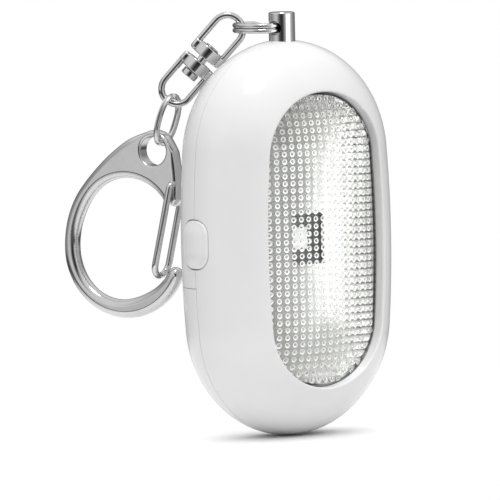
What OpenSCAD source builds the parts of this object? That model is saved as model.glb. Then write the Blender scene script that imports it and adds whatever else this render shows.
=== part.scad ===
// personal safety alarm: pebble case with a lit lens, side button, pull pin and key hook
// row frame: origin on the flat back, +Z up, -Y out of the lens, +X to the right of the lens
$fn = 64;

/* [Case] */
// case width across the front
body_w = 43.6; // [42:0.1:46]
// case height, top to bottom
body_h = 72; // [70:0.5:76]
// edge radius ahead of the seam
front_r = 10.6; // [10.2:0.1:11]
// edge radius behind the seam, also the depth of the back
back_r = 10; // [9.8:0.1:10.6]
// wall thickness of the mouldings
wall = 1.6; // [1.5:0.05:1.7]
// open line between two mouldings
seam = 0.1; // [0.06:0.01:0.16]
// height of the battery door edge below mid height
door_drop = 8; // [7.5:0.1:9]
// rim width between the outline and the lens opening
margin = 8.85; // [8.6:0.05:9.1]

/* [Lens] */
// crest of the lens ahead of the seam
lens_crest = 11.6; // [11.4:0.05:12]
// fall of the lens from its crest to its edge
lens_drop = 2.23; // [2:0.01:2.5]
// thickness of the clear moulding
lens_t = 1.6; // [1.3:0.1:1.8]
// gap between lens and rim
lens_gap = 0.3; // [0.2:0.05:0.4]

/* [Button] */
// button height along the side
button_v = 8.9; // [8:0.1:9.6]
// button width across the seam
button_h = 6.6; // [6:0.1:7]
// how far the button stands out of the side
button_out = 0.7; // [0.5:0.05:1]
// clearance round the button
button_gap = 0.2; // [0.15:0.05:0.3]
// press travel of the button
button_press = 0.8; // [0.6:0.05:0.9]

/* [Pull pin] */
// pin head diameter
pin_d = 4.8; // [4.6:0.1:5.2]
// height of the head above the case top
pin_up = 5.4; // [5.2:0.1:6]
// cross hole diameter in the head
hole_d = 2.6; // [2.55:0.05:2.8]
// height of the cross hole above the case top
hole_up = 2.2; // [2.1:0.05:2.5]
// plug diameter below the head
plug_d = 3.2; // [2.8:0.1:3.4]
// plug length below the head
plug_l = 8.6; // [8:0.1:9]
// running clearance of plug and head
pin_gap = 0.1; // [0.08:0.01:0.2]

/* [Chain] */
// turn of the chain plane from straight ahead
chain_yaw = 40.5; // [38:0.5:43]
// turn of the cross hole from straight ahead
hole_yaw = 77; // [74:0.5:80]
// mean radius of the split ring
ring_r = 4.87; // [4.7:0.01:4.95]
// wire of the split ring
ring_wire = 0.92; // [0.8:0.02:0.94]
// lean of the swivel off vertical
swivel_lean = 42; // [40:0.5:45]
// length of one swivel loop
loop_len = 9.95; // [9.7:0.05:10.3]
// outside width of a swivel loop
loop_w = 6.8; // [6.6:0.05:7]
// wire of the swivel loops
loop_wire = 1.2; // [1.1:0.05:1.25]
// thickness of the swivel base
base_t = 2.2; // [2:0.05:2.4]
// space between the two swivel bases
swivel_gap = 0.95; // [0.8:0.05:1.1]
// swivel rivet stem
stem_d = 1.75; // [1.6:0.05:1.9]
// running clearance on the stem
stem_gap = 0.07; // [0.05:0.01:0.1]
// outside length of the chain link
link_len = 10; // [9.8:0.1:10.4]
// outside width of the chain link
link_w = 6.4; // [6.2:0.05:6.6]
// wire of the chain link
link_wire = 1.15; // [1.05:0.05:1.2]

/* [Snap hook] */
// inside radius of the hook bow
bow_r = 9.9; // [9.7:0.1:10.2]
// rise from the centre of the lower bow to that of the upper bow
bow_rise = 3.2; // [3:0.05:3.4]
// round bar of the hook
bar_d = 3; // [2.8:0.1:3.1]
// plate of the hook
plate_t = 2.8; // [2.6:0.05:2.9]
// eye hole of the hook
eye_d = 5.4; // [5.2:0.1:5.6]
// gate wire
gate_wire = 1.2; // [1.1:0.05:1.25]
// spacing of the two gate wires
gate_w = 5; // [4.8:0.1:5.2]
// gate length from pivot to tip
gate_len = 17.1; // [16.8:0.1:17.4]

/* [Inside] */
// cell diameter
cell_d = 11.6; // [11.4:0.05:11.6]
// cell height
cell_t = 5.4; // [5.2:0.05:5.4]
// board thickness
board_t = 1.2; // [1:0.05:1.3]
// sound chamber diameter
chamber_d = 25; // [23:0.5:25.5]
// small clearance between fixed inner pieces
rest_gap = 0.05; // [0.04:0.01:0.06]
// screw head diameter
head_d = 3.8; // [3.4:0.1:3.9]
// screw shank diameter
shank_d = 2; // [1.8:0.1:2.1]

/* [Hidden] */
end_r = body_w/2;
end_c = body_h/2 - end_r;
top_v = body_h/2;
front_in = front_r - wall;
back_in = back_r - wall;
// lens, reflector and board levels ahead of the seam
lens_in = margin + lens_gap;
lens_half = end_r - lens_in;
crown_r = (lens_half*lens_half + lens_drop*lens_drop)/(2*lens_drop);
flange_h = sqrt(front_in*front_in - pow(front_r - margin + 1.25, 2)) - 0.7;
flange_t = 1.05;
mirror_h = flange_h - flange_t - rest_gap;
mirror_t = 1;
board_h = 2.8;
board_back = board_h - board_t;
board_x = end_r - 7.6;
led_t = 1.4;
window_w = 8.1;
window_v = 9.8;
// screw posts
post_in = 5.3;
post_d = 4.2;
post_end = -4.7;
post_x = (end_r - post_in)*cos(30);
post_v = end_c + (end_r - post_in)*sin(30);
door_post_v = -(top_v - 5.2);
seat_h = -5.6;
// cells
cell_v = 16 - top_v;
cell_h = mirror_h - mirror_t - 1.25 - rest_gap*2 - cell_d/2;
stack_l = 4*cell_t;
tray_v = cell_d + 0.8;
// sounder
chamber_v = top_v - 25;
// pull pin
hole_v = top_v + hole_up;
head_low = top_v - 1.4;
plug_end = head_low - plug_l;
socket_d = 6.4;
socket_top = top_v - wall - 0.8;
socket_low = top_v - 11.4;
leaf_low = socket_low - 4.1;
// split ring centre, seen from above
ring_sag = ring_r - sqrt(ring_r*ring_r - pin_d*pin_d/4);
ring_off = ring_r - ring_sag/2;
ring_x = -ring_off*cos(hole_yaw);
ring_h = -ring_off*sin(hole_yaw);
// swivel loops
loop_r = (loop_w - loop_wire)/2;
loop_side = 0.72;
loop_hang = 2.14;
// chain link
link_r = (link_w - link_wire)/2;
link_run = link_len - link_wire - 2*link_r;
link_lean = 16.7;
link_turn = 54;
link_side = 0.12;
link_from = 26.3;
link_seat = loop_r - loop_wire/2 - link_wire/2 - 0.14;
// snap hook, drawn about the centre of the lower bow
hook_turn = 30;
eye_x = 6.8;
eye_v = 17.9;
boss_r = eye_d/2 + 1.1;
eye_round = 1;
eye_from = 38;
eye_seat = eye_d/2 - link_wire/2 - 0.42;
bow_shift = 0.7;
bar_line = bow_r + bar_d/2;
tip_angle = -25;
left_r = 32;
left_at = 114.5;
right_r = 30;
right_at = 14.5;
left_x = eye_x - (left_r - boss_r)*cos(left_at);
left_v = eye_v - (left_r - boss_r)*sin(left_at);
right_x = eye_x - (right_r - boss_r)*cos(right_at);
right_v = eye_v - (right_r - boss_r)*sin(right_at);
pivot_x = 10.1;
pivot_v = 11.5;
gate_lean = 10.3;
gate_swing = 25;
gate_step = 3.4;
gate_bend = 0.9;
gate_hole = gate_wire + 0.16;

// frame of the case: x to the right, y up, z out of the lens from the seam plane
module upright() {
  translate([0, -back_r, 0]) rotate([90, 0, 0]) children();
}

// a section swept round the middle line of the case
module around_middle() {
  for (s = [0, 180]) rotate(s) {
    translate([0, end_c]) rotate_extrude(angle = 180) children();
    rotate([90, 0, 0]) translate([0, 0, -end_c]) linear_extrude(2*end_c) children();
  }
}

// the same, drawn with x = 0 on the case outline
module around() {
  around_middle() translate([end_r, 0]) children();
}

// flat oval inside the case outline
module oval(inset) {
  square([2*(end_r - inset), 2*end_c], center = true);
  translate([0, end_c]) circle(end_r - inset);
  translate([0, -end_c]) circle(end_r - inset);
}

module slab(inset, low, high) {
  translate([0, 0, low]) linear_extrude(high - low) oval(inset);
}

module pill(w, v, low, high) {
  translate([low, 0, 0]) rotate([90, 0, 90]) linear_extrude(high - low) {
    square([v - w, w], center = true);
    translate([(v - w)/2, 0]) circle(w/2);
    translate([-(v - w)/2, 0]) circle(w/2);
  }
}

// front wall with the lip that locates the back
module front_section() {
  intersection() {
    translate([-margin, seam/2]) square([margin, 20]);
    difference() {
      translate([-front_r, 0]) circle(front_r);
      translate([-front_r, 0]) circle(front_in);
    }
  }
  polygon([[-wall + 0.15, 0.6], [-wall - 0.25, 0.1], [-wall - 0.25, -1.2], [-wall - 1, -1.2],
    [-wall - 1, 1.8], [-wall + 0.05, 1.8]]);
}

module back_section() {
  intersection() {
    translate([-back_r - 1, -20]) square([back_r + 1, 20 - seam/2]);
    union() {
      difference() {
        translate([-back_r, 0]) circle(back_r);
        translate([-back_r, 0]) circle(back_in);
        translate([-back_r - 20, -50]) square([20, 100]);
      }
      translate([-back_r - 1, -back_r]) square([1.2, wall]);
    }
  }
}

module back_moulding() {
  around() back_section();
  slab(back_r + 0.5, -back_r, -back_in);
}

module button_cut() {
  pill(button_h + 2*button_gap, button_v + 2*button_gap, -end_r - 3, -end_r + 4);
}

module pin_cut() {
  translate([0, top_v - 5, 0]) rotate([-90, 0, 0]) cylinder(d = pin_d + 2*pin_gap, h = 10);
}

module posts() {
  for (s = [-1, 1]) translate([s*post_x, post_v, 0]) children();
}

module front_shell() color("white") upright() difference() {
  union() {
    around() front_section();
    posts() translate([0, 0, post_end]) cylinder(d = post_d, h = 6.4 - post_end);
    translate([0, door_post_v, post_end]) cylinder(d = post_d, h = 5.2 - post_end);
  }
  posts() translate([0, 0, post_end - 1]) cylinder(d = shank_d + 0.1, h = 7);
  translate([0, door_post_v, post_end - 1]) cylinder(d = shank_d + 0.1, h = 7);
  pin_cut();
  button_cut();
  translate([-end_r + wall + 0.2, -button_v/2 - 1.6, -2]) cube([4, button_v + 3.2, 6.4]);
  translate([-socket_d/2 - 0.4, top_v - 6, -2]) cube([socket_d + 0.8, 6 - wall - 0.1, 4.2]);
}

module back_shell() color("white") upright() difference() {
  union() {
    intersection() {
      back_moulding();
      translate([-40, -door_drop + seam/2, -20]) cube([80, 80, 30]);
    }
    posts() translate([0, 0, seat_h - 0.6]) cylinder(d = head_d + 1.6, h = post_end - seam/2 - seat_h + 0.6);
    for (s = [-1, 1]) {
      translate([s*8 - 2, -door_drop - 2.4, -back_in + seam]) cube([4, 5.4, 1]);
      translate([s*8 - 2, -door_drop + 0.2, -back_in - 0.2]) cube([4, 2.8, 1]);
    }
  }
  posts() translate([0, 0, seat_h - 20]) cylinder(d = head_d + 0.4, h = 20);
  posts() translate([0, 0, seat_h - 1]) cylinder(d = shank_d + 0.3, h = 4);
  pin_cut();
  button_cut();
  for (r = [[0, 1], [3, 6], [6, 12]]) for (i = [0:r[1] - 1])
    translate([0, chamber_v, -back_r - 1]) rotate(360*i/r[1]) translate([r[0], 0, 0])
      cylinder(d = 1.6, h = wall + 2);
}

module battery_door() color("white") upright() difference() {
  union() {
    intersection() {
      back_moulding();
      translate([-40, -80 - door_drop - seam/2, -20]) cube([80, 80, 30]);
    }
    translate([0, door_post_v, seat_h - 1.4])
      cylinder(d = head_d + 1.6, h = post_end - seam/2 - seat_h + 1.4);
  }
  translate([0, door_post_v, seat_h - 20]) cylinder(d = head_d + 0.4, h = 20);
  translate([0, door_post_v, seat_h - 1]) cylinder(d = shank_d + 0.3, h = 4);
  translate([-5, -door_drop - 3.4, -back_r - 0.5]) rotate([0, 90, 0]) cylinder(r = 1, h = 10);
}

// small pan-head screw with a cross slot, head outwards
module screw() {
  difference() {
    union() {
      translate([0, 0, seat_h - 1.5]) cylinder(d = head_d, h = 1.5);
      translate([0, 0, seat_h - 0.1]) cylinder(d = shank_d, h = 5.6);
    }
    for (a = [0, 90]) rotate(a) translate([-1.1, -0.25, seat_h - 2]) cube([2.2, 0.5, 1.3]);
  }
}

module case_screws() color("silver") upright() posts() screw();

module door_screw() color("silver") upright() translate([0, door_post_v, 0]) screw();

// clear crowned lens with a flange behind the rim, drawn from its middle
module lens_section() {
  intersection() {
    translate([0, 4]) square([lens_half, 12]);
    translate([0, lens_crest - crown_r]) difference() {
      circle(crown_r);
      circle(crown_r - lens_t);
    }
  }
  difference() {
    translate([lens_half - lens_t, flange_h - flange_t]) square([lens_t + 1.5, 8]);
    translate([lens_half, flange_h]) square([6, 8]);
    translate([0, lens_crest - crown_r]) difference() {
      circle(crown_r + 20);
      circle(crown_r - 0.4);
    }
  }
}

module lens() color([0.85, 0.88, 0.9, 0.4]) upright() around_middle() lens_section();

module lens_gasket() color("gray") upright() difference() {
  slab(lens_in - 1.3, flange_h + rest_gap, flange_h + 0.5);
  slab(lens_in - 0.2, flange_h - 1, flange_h + 2);
}

// bright tray behind the lens with a window for the emitter
module reflector() color("gainsboro") upright() difference() {
  union() {
    slab(lens_in - 1.2, mirror_h - mirror_t, mirror_h);
    translate([-window_w/2 - 0.8, -window_v/2 - 0.8, board_h + rest_gap])
      cube([window_w + 1.6, window_v + 1.6, mirror_h - mirror_t - board_h]);
  }
  translate([-window_w/2, -window_v/2, board_h - 1]) cube([window_w, window_v, 20]);
}

module led() color("lightyellow") upright() {
  translate([-2.5, -2.7, board_h + rest_gap]) cube([5, 5.4, led_t - rest_gap - 0.2]);
  translate([-2.1, -2.3, board_h + led_t - 0.3]) cube([4.2, 4.6, 0.3]);
}

module main_board() color("darkgreen") upright() translate([0, 0, board_back]) linear_extrude(board_t)
  polygon([[-board_x, 1 - door_drop], [board_x, 1 - door_drop], [board_x, top_v - 20],
    [board_x - 4.2, top_v - 12], [4.2 - board_x, top_v - 12], [-board_x, top_v - 20]]);

module controller_chip() color([0.1, 0.1, 0.1]) upright() {
  translate([board_x - 8.2, 1, board_back - 1.5]) cube([5, 6, 1.5 - rest_gap]);
  translate([board_x - 9.2, 2, board_back - 0.5]) cube([7, 4, 0.5 - rest_gap]);
}

// side-acting switch behind the button
module tact_switch() color([0.15, 0.15, 0.15]) upright() {
  translate([-end_r + 6.2, -3, -2]) cube([4.5, 6, 2 + board_back - rest_gap]);
  translate([-end_r + 5.2, 0, 0]) rotate([0, 90, 0]) cylinder(d = 2.4, h = 1.5);
}

module button_cap() color("white") upright() {
  intersection() {
    pill(button_h, button_v, -end_r - button_out, -end_r + 4.2);
    translate([-end_r - button_out + 14, 0, 0]) rotate([90, 0, 0]) cylinder(r = 14, h = 30, center = true);
  }
  pill(button_h + 1.8, button_v + 1.8, -end_r + wall + 1.3, -end_r + wall + 2.3);
}

module pin_socket() color([0.2, 0.2, 0.2]) upright() difference() {
  translate([0, socket_low, 0]) rotate([-90, 0, 0]) cylinder(d = socket_d, h = socket_top - socket_low);
  translate([0, socket_low - 1, 0]) rotate([-90, 0, 0]) cylinder(d = plug_d + 2*pin_gap, h = 20);
  translate([-2.4, socket_low - 1, -1.1]) cube([4.8, 5.6, 2.2]);
}

module pin_contacts() color("goldenrod") upright() for (s = [0, 1]) mirror([s, 0, 0]) {
  translate([plug_d/2 + 0.06, leaf_low, -1]) cube([0.3, 8.2, 2]);
  translate([plug_d/2 + 0.06, leaf_low, 0.5]) cube([1.2, 2, board_back - rest_gap - 0.5]);
}

module sound_chamber() color([0.2, 0.2, 0.2]) upright() translate([0, chamber_v, 0]) rotate_extrude()
  polygon([[0, -2.5], [0, -1.5], [chamber_d/2, -1.5], [chamber_d/2, -back_in + rest_gap],
    [chamber_d/2 - 1.1, -back_in + rest_gap], [chamber_d/2 - 1.1, -5.45], [chamber_d/2 - 3, -5.45],
    [chamber_d/2 - 3, -2.5]]);

module piezo_disc() color("gold") upright() translate([0, chamber_v, 0]) {
  translate([0, 0, -5.45 - rest_gap - 0.4]) cylinder(d = chamber_d - 2.6, h = 0.4);
  translate([0, 0, -5.45 - rest_gap - 0.1]) cylinder(d = chamber_d - 9, h = 0.5);
}

// tray for the cells, open towards the door
module battery_cradle() color([0.2, 0.2, 0.2]) upright() {
  translate([-stack_l/2 - 1.8, cell_v - tray_v/2, cell_h + cell_d/2 + rest_gap])
    cube([stack_l + 3.6, tray_v, 1.2]);
  for (s = [0, 1]) mirror([s, 0, 0])
    translate([stack_l/2 + 0.6, cell_v - tray_v/2, cell_h - 3]) cube([1.2, tray_v, cell_d/2 + 4]);
}

module button_cells() color("silver") upright() for (i = [0:3])
  translate([-stack_l/2 + i*cell_t + 0.02, cell_v, cell_h]) rotate([0, 90, 0]) {
    cylinder(d = cell_d, h = cell_t - 0.7);
    cylinder(d = cell_d - 2, h = cell_t - 0.04);
  }

module battery_contacts() color("goldenrod") upright() for (s = [0, 1]) mirror([s, 0, 0])
  translate([stack_l/2 + rest_gap, cell_v - 4, cell_h - 3.5]) cube([0.45, 8, 9]);

module pull_pin() color("silver") upright() rotate([-90, 0, 0]) difference() {
  union() {
    translate([0, 0, head_low]) cylinder(d = pin_d, h = top_v + pin_up - 0.25 - head_low);
    translate([0, 0, top_v + pin_up - 0.25]) cylinder(d1 = pin_d, d2 = pin_d - 0.5, h = 0.25);
    translate([0, 0, plug_end]) cylinder(d = plug_d, h = plug_l + 0.5);
    translate([0, 0, plug_end - 0.6]) cylinder(d1 = plug_d - 1.2, d2 = plug_d, h = 0.6);
  }
  translate([0, 0, hole_v]) rotate([0, 90, 90 - hole_yaw]) cylinder(d = hole_d, h = 20, center = true);
}

// two flat turns of spring wire
module split_ring() color("silver") upright() translate([ring_x, hole_v, ring_h]) rotate([-90, 0, 0])
  for (s = [-1, 1]) translate([0, 0, s*(ring_wire/2 - 0.01)]) rotate_extrude()
    translate([ring_r, 0]) circle(ring_wire/2);

// chain plane at the ring, x to the right and y up
module at_ring() {
  upright() translate([ring_x - ring_r*cos(chain_yaw), hole_v, ring_h - ring_r*sin(chain_yaw)])
    rotate([0, -chain_yaw, 0]) children();
}

// swivel axis down y, from the upper tip
module at_swivel() {
  at_ring() rotate(-swivel_lean) translate([-loop_side, loop_hang, 0]) children();
}

module loop(bore) {
  difference() {
    union() {
      translate([0, -loop_r - loop_wire/2]) rotate_extrude(angle = 180) translate([loop_r, 0])
        circle(loop_wire/2);
      for (s = [-1, 1]) translate([s*loop_r, -loop_r - loop_wire/2, 0]) rotate([90, 0, 0])
        cylinder(d = loop_wire, h = loop_len - base_t/2 - loop_r - loop_wire/2);
      translate([-loop_w/2, -loop_len, -loop_wire/2 - 0.1]) cube([loop_w, base_t, loop_wire + 0.2]);
      translate([0, -loop_len, 0]) rotate([-90, 0, 0]) cylinder(d = loop_w - 2.2, h = base_t);
    }
    translate([0, -loop_len - 1, 0]) rotate([-90, 0, 0]) cylinder(d = bore, h = base_t + 2);
  }
}

module swivel_upper() color("silver") at_swivel() loop(stem_d + 0.04);

module swivel_lower() color("silver") at_swivel() translate([0, -2*loop_len - swivel_gap, 0]) rotate(180)
  loop(stem_d + 2*stem_gap);

module swivel_rivet() color("silver") at_swivel() rotate([90, 0, 0]) {
  translate([0, 0, loop_len - base_t - 0.3]) cylinder(d = stem_d, h = 2*base_t + swivel_gap + 0.6);
  translate([0, 0, loop_len + swivel_gap + base_t + 0.15]) cylinder(d = 3.1, h = 1.2);
  translate([0, 0, loop_len - base_t - 0.3]) cylinder(d = 2.6, h = 0.3 - rest_gap);
}

// chain plane at the top wire of the link
module at_link() {
  at_swivel() translate([0, -2*loop_len - swivel_gap + loop_r + loop_wire/2, 0])
    rotate(swivel_lean - link_from) translate([link_side, -link_seat, 0]) rotate(link_from) children();
}

module chain_link() color("silver") at_link() rotate(-link_lean) rotate([0, link_turn, 0]) {
  translate([0, -link_r, 0]) rotate_extrude(angle = 180) translate([link_r, 0]) circle(link_wire/2);
  translate([0, -link_r - link_run, 0]) rotate(180) rotate_extrude(angle = 180) translate([link_r, 0])
    circle(link_wire/2);
  for (s = [-1, 1]) translate([s*link_r, -link_r, 0]) rotate([90, 0, 0])
    cylinder(d = link_wire, h = link_run);
}

// hook plane about the centre of the lower bow
module at_hook() {
  at_link() rotate(-link_lean) translate([0, -link_len + link_wire, 0]) rotate(link_lean)
    rotate([0, -hook_turn, 0]) rotate(-eye_from) translate([0, -eye_seat, 0]) rotate(eye_from)
    translate([-eye_x, -eye_v, 0]) children();
}

module hook_plate() difference() {
  union() {
    translate([eye_x, eye_v]) circle(boss_r);
    intersection() {
      translate([left_x, left_v]) circle(left_r);
      translate([right_x, right_v]) circle(right_r);
      polygon([[eye_x, eye_v], [eye_x + 60*cos(left_at), eye_v + 60*sin(left_at)], [-60, 60], [-60, -0.3],
        [0, -0.3], [0, 7], [60, 7], [eye_x + 60*cos(right_at), eye_v + 60*sin(right_at)]]);
    }
  }
  translate([bow_shift, bow_rise]) circle(bow_r - 0.25);
  circle(bow_r);
}

// eye hole with rounded edges
module eye_section() difference() {
  translate([0, -plate_t]) square([eye_d/2 + eye_round, 2*plate_t]);
  translate([eye_d/2 + eye_round, 0]) {
    square([2*eye_round, plate_t - 2*eye_round + 0.12], center = true);
    for (s = [-1, 1]) translate([0, s*(plate_t/2 - eye_round + 0.06)]) circle(eye_round);
  }
}

module snap_hook() color("silver") at_hook() difference() {
  union() {
    translate([0, 0, -plate_t/2]) linear_extrude(plate_t) hook_plate();
    rotate(180) rotate_extrude(angle = 180 + tip_angle) translate([bar_line, 0]) circle(bar_d/2);
    rotate(tip_angle) translate([bar_line, 0, 0]) rotate([-90, 0, 0]) rotate_extrude() {
      translate([0, -0.3]) square([bar_d/2 - 0.06, 0.31]);
      intersection() {
        circle(bar_d/2 - 0.06);
        square(bar_d);
      }
    }
  }
  translate([eye_x, eye_v, 0]) rotate_extrude() eye_section();
  gate_holes();
}

// round hole for the front end of the gate, slot for the back end
module gate_holes() translate([pivot_x, pivot_v, 0]) {
  translate([0, 0, 0.1]) cylinder(d = gate_hole, h = 10);
  rotate(-102 - gate_lean - gate_swing) rotate_extrude(angle = gate_swing + 24)
    translate([gate_step - gate_hole/2, -10]) square([gate_hole, 9.9]);
}

// loop of wire, its two ends turned into the hook one below the other
module hook_gate() color("silver") at_hook() translate([pivot_x, pivot_v, 0]) rotate([0, 0, -gate_lean])
  rotate([0, -90, 0]) {
  gate_leg(0);
  mirror([1, 0, 0]) gate_leg(gate_step);
  translate([0, gate_w/2 - gate_len, 0]) rotate(180) rotate_extrude(angle = 180) translate([gate_w/2, 0])
    circle(gate_wire/2);
}

module gate_leg(down) {
  translate([0.3, -down, 0]) rotate([0, 90, 0]) cylinder(d = gate_wire, h = gate_w/2 - gate_bend - 0.3);
  translate([gate_w/2 - gate_bend, -down - gate_bend, 0]) rotate_extrude(angle = 90) translate([gate_bend, 0])
    circle(gate_wire/2);
  translate([gate_w/2, -down - gate_bend, 0]) rotate([90, 0, 0])
    cylinder(d = gate_wire, h = gate_len - gate_w/2 - down - gate_bend);
}

front_shell();
back_shell();
battery_door();
case_screws();
door_screw();
lens();
lens_gasket();
reflector();
led();
main_board();
controller_chip();
tact_switch();
button_cap();
pin_socket();
pin_contacts();
sound_chamber();
piezo_disc();
battery_cradle();
button_cells();
battery_contacts();
pull_pin();
split_ring();
swivel_upper();
swivel_lower();
swivel_rivet();
chain_link();
snap_hook();
hook_gate();
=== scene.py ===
import bpy
import bmesh
from math import acos, atan2, cos, hypot, pi, radians, sin, sqrt
from mathutils import Matrix, Vector
from mathutils.geometry import tessellate_polygon

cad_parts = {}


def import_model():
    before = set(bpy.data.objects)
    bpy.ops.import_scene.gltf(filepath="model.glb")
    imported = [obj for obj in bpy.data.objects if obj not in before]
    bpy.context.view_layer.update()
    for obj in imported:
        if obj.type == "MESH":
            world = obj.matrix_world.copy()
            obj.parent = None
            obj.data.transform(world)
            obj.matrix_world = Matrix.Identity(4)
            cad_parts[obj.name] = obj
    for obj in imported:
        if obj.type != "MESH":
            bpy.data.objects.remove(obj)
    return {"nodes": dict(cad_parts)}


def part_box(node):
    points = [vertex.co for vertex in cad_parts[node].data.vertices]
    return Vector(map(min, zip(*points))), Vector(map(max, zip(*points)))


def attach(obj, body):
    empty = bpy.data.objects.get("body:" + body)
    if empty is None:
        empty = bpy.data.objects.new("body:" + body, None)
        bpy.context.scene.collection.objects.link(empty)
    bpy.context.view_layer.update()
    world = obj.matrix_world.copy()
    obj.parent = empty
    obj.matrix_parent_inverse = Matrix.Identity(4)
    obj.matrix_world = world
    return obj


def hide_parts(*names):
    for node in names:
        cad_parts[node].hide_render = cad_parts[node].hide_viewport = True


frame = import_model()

scene = bpy.context.scene
nodes = frame["nodes"]
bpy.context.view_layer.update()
mm = 0.001

# sizes in millimetres, as in the part's source: x right, v up, h out of the lens from the seam
case = {"halfW": 21.93, "halfH": 36.0, "endR": 21.26, "frontR": 10.6, "backR": 10.0, "wall": 1.6,
        "seam": 0.05, "edge": 0.12, "first": 0.02, "sides": 26, "ends": 80, "doorDrop": 8.0,
        "margin": 8.23, "rimRound": 0.32, "rimSwell": 0.035, "liftFrom": 6.5, "lift": 1.15,
        "tuckFrom": 2.5, "tuck": 0.98, "lip": (1.85, 2.6), "lipH": (-1.2, 1.7)}
case["endC"] = case["halfH"] - case["endR"]
case["spread"] = case["halfW"] - case["endR"]
case["sideC"] = (case["endC"] ** 2 - case["spread"] ** 2) / (2 * case["spread"])  # long flat side arcs
case["sideR"] = case["sideC"] + case["halfW"]
case["turn"] = atan2(case["endC"], case["sideC"])
solidW = 21.8  # half width of the straight-sided solids


def at(x, v, h):
    return Vector((x, -h - case["backR"], v)) * mm


def shift(x, y, z=0.0):
    return Matrix.Translation((x, y, z))


def turnBy(axis, degrees):
    return Matrix.Rotation(radians(degrees), 4, axis)


def evenly(count, start=0.0, end=1.0):
    return [start + (end - start) * i / count for i in range(count + 1)]


def ease(t):
    t = min(1.0, max(0.0, t))
    return t * t * (3 - 2 * t)


def arc(cx, cy, r, start, end, count):
    angles = [radians(a) for a in evenly(count, start, end)]
    return [(cx + r * cos(a), cy + r * sin(a)) for a in angles]


upright = shift(0, -case["backR"]) @ turnBy("X", 90)


# materials

def fill(tree, node, plugs):
    for key, value in plugs.items():
        if isinstance(value, bpy.types.NodeSocket):
            tree.links.new(value, node.inputs[key])
        else:
            node.inputs[key].default_value = value


def put(tree, kind, plugs=None, out=0, **settings):
    made = tree.nodes.new(kind)
    for key, value in settings.items():
        setattr(made, key, value)
    fill(tree, made, plugs or {})
    return made.outputs if out is None else made.outputs[out]


def calc(tree, kind, *values):
    return put(tree, "ShaderNodeMath", dict(enumerate(values)), operation=kind)


def objectCoords(tree, scale=(1, 1, 1), turn=(0, 0, 0)):
    coords = put(tree, "ShaderNodeTexCoord", out="Object")
    return put(tree, "ShaderNodeMapping", {"Vector": coords, "Scale": scale, "Rotation": turn})


def noise(tree, vector, scale, detail=3.0, rough=0.55):
    plugs = {"Vector": vector, "Scale": scale, "Detail": detail, "Roughness": rough}
    return put(tree, "ShaderNodeTexNoise", plugs, "Fac")


def span(tree, value, low=0.0, high=1.0, start=0.0, end=1.0, kind="LINEAR"):
    plugs = {"Value": value, "From Min": start, "From Max": end, "To Min": low, "To Max": high}
    return put(tree, "ShaderNodeMapRange", plugs, "Result", interpolation_type=kind)


def colour(level):
    return (*level, 1) if isinstance(level, tuple) else (level, level, level, 1)


def ramp(tree, value, stops):
    made = tree.nodes.new("ShaderNodeValToRGB")
    band = made.color_ramp
    while len(band.elements) < len(stops):
        band.elements.new(0.5)
    for element, (place, level) in zip(band.elements, stops):
        element.position = place
        element.color = colour(level)
    fill(tree, made, {"Fac": value})
    return made.outputs["Color"]


def mixColours(tree, share, first, second):
    made = tree.nodes.new("ShaderNodeMix")
    made.data_type = "RGBA"
    tree.links.new(share, made.inputs[0])
    sockets = [i for i in made.inputs if i.type == "RGBA"]
    for socket, value in zip(sockets, (first, second)):
        if isinstance(value, float):
            socket.default_value = colour(value)
        else:
            tree.links.new(value, socket)
    return [o for o in made.outputs if o.type == "RGBA"][0]


def bump(tree, shader, height, strength, distance):
    plugs = {"Height": height, "Strength": strength, "Distance": distance}
    fill(tree, shader, {"Normal": put(tree, "ShaderNodeBump", plugs)})


def newMaterial(name):
    mat = bpy.data.materials.new(name)
    mat.use_nodes = True
    return mat, mat.node_tree, mat.node_tree.nodes["Principled BSDF"]


def clouded(name, scale, detail, stops):
    mat, tree, shader = newMaterial(name)
    cloud = noise(tree, objectCoords(tree), scale, detail)
    fill(tree, shader, {"Base Color": ramp(tree, cloud, stops)})
    return mat, tree, shader


def plasticFinish(name, light, dark, rough, grain):
    mat, tree, shader = clouded(name, 120, 2, [(0.3, dark), (0.7, light)])
    fine = noise(tree, objectCoords(tree), grain, 4)
    fill(tree, shader, {"Roughness": span(tree, fine, *rough)})
    bump(tree, shader, fine, 0.06, 0.00002)
    return mat


def metalFinish(name, light, dark, rough, grain=900, depth=0.05, stretch=(1, 1, 1)):
    mat, tree, shader = clouded(name, 260, 3, [(0.3, dark), (0.7, light)])
    lines = noise(tree, objectCoords(tree, stretch), grain, 3)
    fill(tree, shader, {"Roughness": span(tree, lines, *rough), "Metallic": 1.0})
    bump(tree, shader, lines, depth, 0.00003)
    return mat


def clearFinish(name, tint, rough, through=1.0):
    mat, tree, shader = clouded(name, 150, 2, [(0.2, tint), (0.8, 1.0)])
    grain = noise(tree, objectCoords(tree), 2500)
    fill(tree, shader, {"Roughness": span(tree, grain, *rough), "Transmission Weight": through, "IOR": 1.46,
                        "Specular Tint": colour(0.5)})  # quieter mirror image of the room
    return mat


def boardFinish():
    mat, tree, shader = newMaterial("boardGreen")
    bricks = put(tree, "ShaderNodeTexBrick", {
        "Vector": objectCoords(tree, turn=(pi / 2, 0, 0)), "Scale": 420, "Mortar Size": 0.06,
        "Color1": (0.03, 0.17, 0.08, 1), "Color2": (0.02, 0.13, 0.06, 1),
        "Mortar": (0.06, 0.26, 0.12, 1)}, None)  # copper runs under the solder mask
    fill(tree, shader, {"Base Color": bricks["Color"], "Roughness": span(tree, bricks["Fac"], 0.32, 0.42)})
    bump(tree, shader, bricks["Fac"], 0.25, 0.00003)
    return mat


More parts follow.
